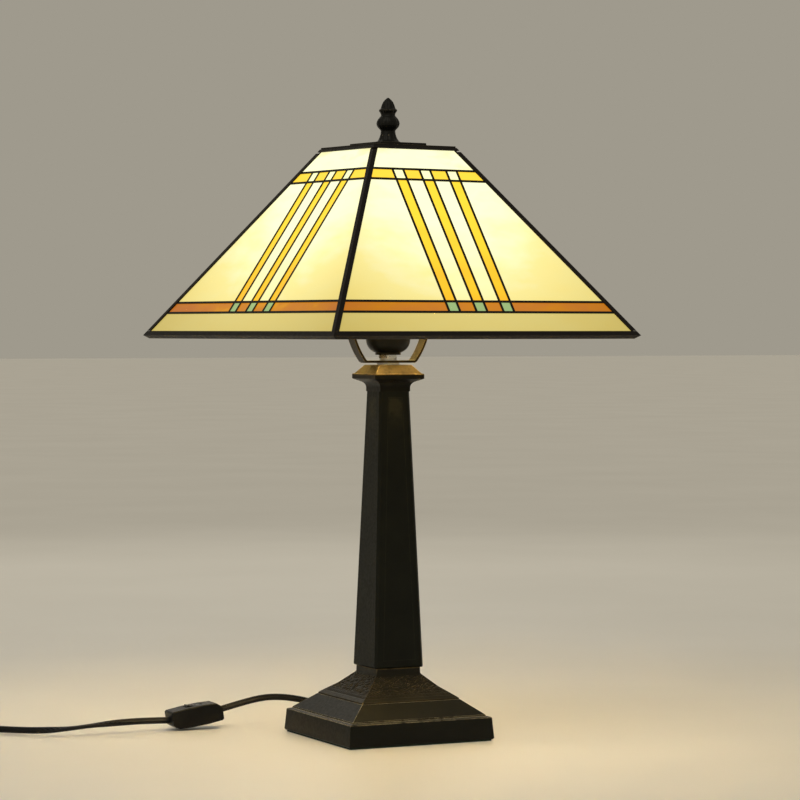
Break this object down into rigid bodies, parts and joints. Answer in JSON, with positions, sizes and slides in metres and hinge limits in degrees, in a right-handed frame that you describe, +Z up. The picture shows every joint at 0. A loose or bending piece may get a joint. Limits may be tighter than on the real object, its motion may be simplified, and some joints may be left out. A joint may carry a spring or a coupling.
{
  "type": "stained glass table lamp",
  "caption": "Table lamp with a square leaded glass shade on a harp, a tapered square column on a stepped cast base, a screw-in bulb and a flat lead with an in-line switch.",
  "frame": {"origin": "centre of the base's underside, on the table", "axes": "+Z up along the column, the base's front face towards -Y, the lead leaves the back and lies to the -X side"},
  "size_m": [0.5284, 0.5237, 0.5376],
  "materials": {
    "antique_bronze": "satin dark antique bronze with rubbed edges",
    "felt": "felt",
    "cover_steel": "zinc plated",
    "weight_iron": "rough cast",
    "fixing_brass": "satin",
    "fixing_steel": "satin zinc plated",
    "harp_bronze": "satin dark bronze",
    "socket_bronze": "satin dark bronze",
    "socket_liner": "fibre board",
    "socket_ceramic": "glazed ceramic",
    "contact_brass": "bright",
    "bulb_cap": "satin",
    "bulb_glass": "frosted",
    "bulb_insulator": "gloss",
    "bulb_stem": "clear",
    "bulb_filament": "hot wire",
    "lead_came": "dark patina",
    "glass_cream": "opalescent",
    "glass_amber": "opalescent",
    "glass_orange": "opalescent",
    "glass_jade": "opalescent",
    "glass_field": "opalescent",
    "cap_bronze": "satin dark bronze",
    "cord_pvc": "satin black",
    "plug_pvc": "satin black",
    "switch_black": "satin black",
    "rocker_black": "satin black",
    "blade_brass": "bright",
    "tie_black": "matt"
  },
  "bodies": {
    "lamp": {"base_canopy": "antique_bronze", "base_cover": "cover_steel", "base_plinth": "antique_bronze", "base_weight": "weight_iron", "capital": "antique_bronze", "coil_tie": "tie_black", "column_shaft": "antique_bronze", "cord_bushing": "plug_pvc", "cord_coil": "cord_pvc", "cord_tail": "cord_pvc", "cord_to_coil": "cord_pvc", "cord_to_switch": "cord_pvc", "cover_screws": "fixing_steel", "felt_pad": "felt", "harp": "harp_bronze", "lamp_pipe": "fixing_steel", "lead_wires": "cord_pvc", "pipe_nuts": "fixing_brass", "pipe_washers": "fixing_steel", "plug_blades": "blade_brass", "plug_body": "plug_pvc", "socket_cap": "socket_bronze", "socket_contact": "contact_brass", "socket_core": "socket_ceramic", "socket_liner": "socket_liner", "socket_screw_shell": "contact_brass", "socket_shell": "socket_bronze", "switch_bottom_shell": "switch_black", "switch_contacts": "contact_brass", "switch_screws": "fixing_steel", "switch_top_shell": "switch_black", "terminal_screws": "contact_brass"},
    "swivel": {"harp_swivel": "harp_bronze"},
    "shade": {"cames_back": "lead_came", "cames_front": "lead_came", "cames_left": "lead_came", "cames_right": "lead_came", "corner_cames": "lead_came", "bottom_rim": "lead_came", "top_rim": "lead_came", "shade_cap": "cap_bronze", "glass_bottom_band": "glass_cream", "glass_field": "glass_field", "glass_lower_border": "glass_orange", "glass_lower_squares": "glass_jade", "glass_stripes_amber": "glass_amber", "glass_stripes_cream": "glass_cream", "glass_top_band": "glass_cream", "glass_upper_border": "glass_amber", "glass_upper_squares": "glass_jade"},
    "finial_thread": {"finial_insert": "contact_brass"},
    "finial": {"finial": "antique_bronze"},
    "bulb_foot": {"bulb_contact": "bulb_cap"},
    "bulb": {"bulb_envelope": "bulb_glass", "bulb_cap": "bulb_cap", "bulb_insulator": "bulb_insulator", "bulb_stem": "bulb_stem", "bulb_filament": "bulb_filament"},
    "rocker": {"switch_rocker": "rocker_black"}
  },
  "joints": [
    {"name": "shade_turn", "type": "hinge", "parent": "lamp", "child": "swivel", "pos_m": [0, 0, 0.489], "axis": [0, 0, 1], "continuous": true},
    {"name": "shade_lift", "type": "slide", "parent": "swivel", "child": "shade", "axis": [0, 0, 1], "range_m": [0, 0.17]},
    {"name": "finial_rise", "type": "slide", "parent": "shade", "child": "finial_thread", "axis": [0, 0, 1], "range_m": [0, 0.00752]},
    {"name": "finial_turn", "type": "hinge", "parent": "finial_thread", "child": "finial", "pos_m": [0, 0, 0.499], "axis": [0, 0, 1], "range_deg": [0, 2940]},
    {"name": "bulb_rise", "type": "slide", "parent": "lamp", "child": "bulb_foot", "axis": [0, 0, 1], "range_m": [0, 0.01635]},
    {"name": "bulb_turn", "type": "hinge", "parent": "bulb_foot", "child": "bulb", "pos_m": [0, 0, 0.36], "axis": [0, 0, 1], "range_deg": [0, 1620]},
    {"name": "rocker_tilt", "type": "hinge", "parent": "lamp", "child": "rocker", "pos_m": [-0.13118, 0.11312, 0.01645], "axis": [-0.0349, -0.9994, 0], "range_deg": [0, 16]}
  ],
  "couplings": [
    {"joint": "finial_turn", "follows": "finial_rise", "rad_per_m": 6684.2},
    {"joint": "bulb_rise", "follows": "bulb_turn", "m_per_rad": 0.00057757}
  ]
}
